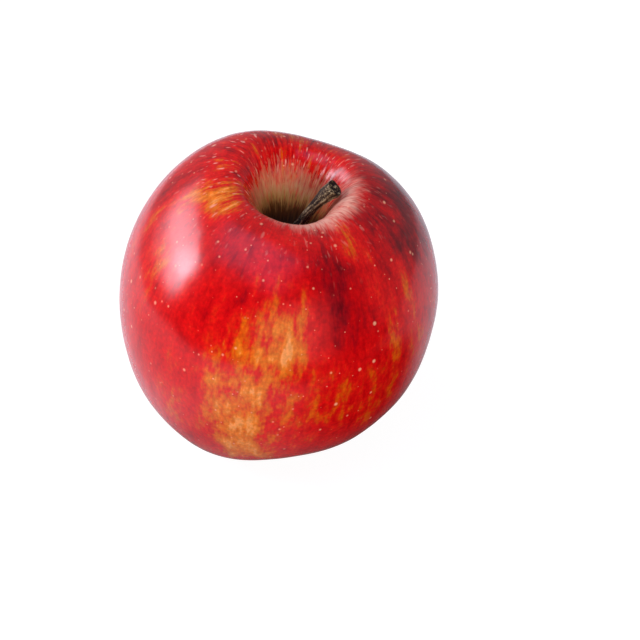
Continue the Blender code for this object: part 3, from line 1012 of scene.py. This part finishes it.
@dataclass(frozen=True)
class Lamp:
    """One soft light that faces the apple.

    Attributes:
        name: The light's name.
        direction: Its direction round the apple, in degrees (270 is the camera's side, 180 its left).
        elevation: Its height over the horizon, in degrees.
        distance: Its distance in millimetres.
        size: Its width and height in millimetres.
        radiance: How bright its face is, where a lit white table is about one.
        tint: Its colour.
        mirrored: Whether the skin mirrors it.
        across: Its brightness from side to side, in even steps. On a low light to the apple's left, the
            first lies away from the camera, and shows as the top of its reflection.
        upwards: Its brightness over its height, in even steps, which such a reflection shows from left
            to right.
    """

    name: str
    direction: float
    elevation: float
    distance: float
    size: tuple[float, float]
    radiance: float
    tint: str = "#FFFFFF"
    mirrored: bool = True
    across: tuple[float, ...] = ()
    upwards: tuple[float, ...] = ()

    def add_fade(self, data: Light) -> None:
        """Make the light's face unevenly bright, as a softbox's is, with soft edges."""
        data.use_nodes = True
        emission = next(node for node in data.node_tree.nodes if node.type == "EMISSION")
        spot = add_node(data.node_tree, "NewGeometry", out="Parametric")
        axes = add_node(data.node_tree, "SeparateXYZ", (spot,)).node.outputs
        levels = []
        for axis, shares in ((axes["X"], self.across), (axes["Y"], self.upwards)):
            ramp = add_node(data.node_tree, "ValToRGB", (axis,))
            ramp.node.color_ramp.interpolation = "EASE"
            stops = tuple((index / (len(shares) - 1), share) for index, share in enumerate(shares))
            levels.append(fill_ramp(ramp, stops))
        level = add_node(data.node_tree, "Math", tuple(levels), operation="MULTIPLY")
        feed(emission, {"Strength": level})

    def hang(self, middle: Vector) -> None:
        """Hang the light.

        Args:
            middle: The place that it faces, in metres.
        """
        data = bpy.data.lights.new(self.name, "AREA")
        data.shape = "RECTANGLE"
        data.size, data.size_y = self.size[0] * MM, self.size[1] * MM
        data.energy = self.radiance * math.pi * data.size * data.size_y
        data.color = linear(self.tint)[:3]
        if self.across:
            self.add_fade(data)
        light = new_object(self.name, data)
        around, up = math.radians(self.direction), math.radians(self.elevation)
        way = Vector((math.cos(around) * math.cos(up), math.sin(around) * math.cos(up), math.sin(up)))
        light.location = middle + way * self.distance * MM
        light.rotation_euler = (-way).to_track_quat("-Z", "Y").to_euler()
        light.visible_glossy = self.mirrored
        light.visible_camera = False


@dataclass(frozen=True)
class Studio:
    """The pale floor, the soft lights and the camera.

    The floor is a sheet of white paper that only the camera sees. Close under it lies the table that glows
    to light the apple from below and that its skin mirrors, with dark patches of painted shade and painted
    shadow on it.

    Attributes:
        target: The place in millimetres at the middle of the camera's view.
        camera_distance: How far the camera stands from it, in millimetres.
        camera_elevation: How steeply the camera looks down, in degrees.
        focal_length: The lens's focal length in millimetres, on a 36 mm sensor.
        paper_glow: How much of the paper's white doesn't depend on the lights, so that shadows stay faint.
        painted_shades: The dark patches of painted shade and painted shadow on the table: each one's middle
            and half
        sizes along X and Y, in millimetres, and its darkness, where 1 is black. The first stands in for the
        apple's own shade.
        table_edge: The distances between which the table's light fades out, in millimetres.
        wall_direction: The direction of the grey walls' middle, in degrees. The room is dark opposite.
    """

    target: tuple[float, float, float] = (10.17, 0.63, 26.7)
    camera_distance: float = 750.0
    camera_elevation: float = 37.5
    focal_length: float = 170.3
    sensor_width: float = 36.0
    floor_radius: float = 420.0
    paper_glow: float = 0.94
    paper_drop: float = 0.1
    table_glow: float = 0.2
    table_drop: float = 0.3
    painted_shades: tuple[tuple[float, ...], ...] = (
        (2.0, -26.0, 42.0, 50.0, 0.55),
        (-130.0, -30.0, 80.0, 70.0, 0.3),
        (66.0, -44.0, 56.0, 50.0, 1.0),
        (200.0, -190.0, 215.0, 190.0, 1.0),
    )
    table_edge: tuple[float, float] = (230.0, 415.0)
    wall_direction: float = 80.0
    lamps: tuple[Lamp, ...] = (
        Lamp("softbox", 158.0, 20.0, 700.0, (590.0, 460.0), 27.5, "#F6F0FF",
             across=(0.0, 0.12, 0.24, 0.3, 0.4, 0.65, 0.95), upwards=(0.0, 0.12, 0.6, 1.0, 0.85, 0.55)),
        Lamp("ceiling", 232.0, 73.0, 990.0, (1400.0, 820.0), 2.0, "#B4C2FF",
             across=(0.2, 0.8, 0.8, 0.8, 0.2), upwards=(0.2, 0.8, 0.8, 0.8, 0.2)),
        Lamp("table_fill", 195.0, 66.0, 1100.0, (700.0, 700.0), 1.9, mirrored=False),
        Lamp("front_fill", 286.0, 14.0, 900.0, (900.0, 600.0), 4.8, mirrored=False),
    )

    def place_camera(self) -> None:
        """Place the camera at the photograph's angle."""
        camera = bpy.data.cameras.new("camera")
        camera.lens = self.focal_length
        camera.sensor_width = self.sensor_width
        camera.clip_start = 0.01
        thing = new_object("camera", camera)
        tilt = math.radians(self.camera_elevation)
        back = Vector((0.0, -math.cos(tilt), math.sin(tilt)))
        thing.location = Vector(self.target) * MM + back * self.camera_distance * MM
        thing.rotation_euler = (-back).to_track_quat("-Z", "Y").to_euler()
        bpy.context.scene.camera = thing

    def disc(self, name: str, material: Material, drop: float) -> Object:
        """Make a flat round sheet as rings of faces.

        Args:
            name: The sheet's name.
            material: Its material.
            drop: How far it lies under the apple's resting spots, in millimetres.

        Returns:
            The sheet.
        """
        turns = np.linspace(0.0, 2 * math.pi, 96, endpoint=False)
        radii = np.linspace(1.0, math.sqrt(self.floor_radius), 60) ** 2
        rows = np.stack([np.outer(radii, np.cos(turns)), np.outer(radii, np.sin(turns)),
                         np.full((len(radii), len(turns)), -drop)], axis=-1)
        sheet = link_object(name, grid_mesh(name, rows, closed_ends=False), material)
        return sheet

    def lay_paper(self) -> None:
        """Lay the white paper, which the camera alone sees."""
        material, shader = new_material("white_paper")
        feed(shader, {"Base Color": linear("#6A6A6A"), "Roughness": 1.0, "Specular IOR Level": 0.0,
                      "Emission Color": linear("#FFFFFF"), "Emission Strength": self.paper_glow})
        paper = self.disc("paper", material, self.paper_drop)
        paper.visible_diffuse = paper.visible_glossy = False
        paper.visible_transmission = paper.visible_shadow = False

    def lay_table(self) -> None:
        """Lay the white table and its painted shade and shadow, which light the skin and show in its gloss.
        """
        material, shader = new_material("white_table_with_painted_shade")
        bare = add_node(material.node_tree, "Attribute", out="Fac", attribute_name="bare")
        # The table's colour and glow run from the near black of painted shade to white where it is bare
        tones = {"Factor": bare, 6: linear("#0A0A0A"), 7: linear("#DADADA")}
        colour = add_node(material.node_tree, "Mix", tones, out=2, data_type="RGBA")
        feed(shader, {"Base Color": colour, "Emission Color": colour, "Emission Strength": self.table_glow,
                      "Roughness": 1.0, "Specular IOR Level": 0.0})
        table = self.disc("table", material, self.table_drop)
        x, y, _ = read_vertices(table.data, "co").T / MM
        bare = 1.0 - smooth_step(np.hypot(x, y), *self.table_edge)
        # Each oval darkens the table's colour and glow as painted shade and painted shadow, which the skin
        # mirrors
        for middle_x, middle_y, half_x, half_y, depth in self.painted_shades:
            far = np.sqrt(((x - middle_x) / half_x) ** 2 + ((y - middle_y) / half_y) ** 2)
            bare = bare * (1.0 - depth * (1.0 - smooth_step(far, 0.65, 1.25)))
        add_attribute(table.data, "bare", bare)
        table.visible_camera = False

    def set_walls(self) -> None:
        """Surround the studio with grey walls behind and a dark room in front, and white for the camera."""
        world = bpy.data.worlds.new("studio")
        world.use_nodes = True
        tree = world.node_tree
        output = next(node for node in tree.nodes if node.type == "OUTPUT_WORLD")
        angle = math.radians(self.wall_direction)
        way = add_node(tree, "TexCoord", out="Generated")
        side = (math.cos(angle), math.sin(angle), 0.0)
        front = add_node(tree, "VectorMath", (way, side), out="Value", operation="DOT_PRODUCT")
        grey = add_node(tree, "MapRange", {"Value": front, "From Min": -0.3, "From Max": 0.3,
                                           "To Min": 0.02, "To Max": 0.36})
        walls = add_node(tree, "Background", {"Color": linear("#F4F6FF"), "Strength": grey})
        bright = add_node(tree, "Background", {"Color": linear("#FFFFFF"), "Strength": 1.0})
        seen = add_node(tree, "LightPath", out="Is Camera Ray")
        feed(output, {"Surface": add_node(tree, "MixShader", (seen, walls, bright))})
        bpy.context.scene.world = world

    def build(self) -> None:
        """Set up the studio."""
        self.place_camera()
        self.lay_paper()
        self.lay_table()
        self.set_walls()
        for lamp in self.lamps:
            lamp.hang(Vector((0.0, 0.0, 35.0)) * MM)
        bpy.context.scene.view_settings.view_transform = "Standard"


def settle(piece: Object, node: str) -> None:
    """Make a piece ride on the apple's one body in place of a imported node.

    Args:
        piece: The piece.
        node: The node that it stands for.
    """
    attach(piece, "root")
    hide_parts(node)
    LOG.info("%s: %d faces, replaces %s", piece.name, len(piece.data.polygons), node)


def main() -> None:
    """Build the apple's looks and the studio round it."""
    logging.basicConfig(level=logging.INFO, format="%(name)s: %(message)s")
    Studio().build()
    growth = Growth()
    leaf = DRIED_SEPAL.material()
    calyx = Calyx(growth)
    settle(Fruit(growth).build(SkinPainter(AppleSkin()).material()), "fruit")
    settle(Stem(growth).build(STEM_BARK.material()), "stem")
    settle(calyx.build_sepals(leaf), "calyx")
    settle(calyx.build_heart(leaf), "calyx")


if __name__ == "__main__":
    main()
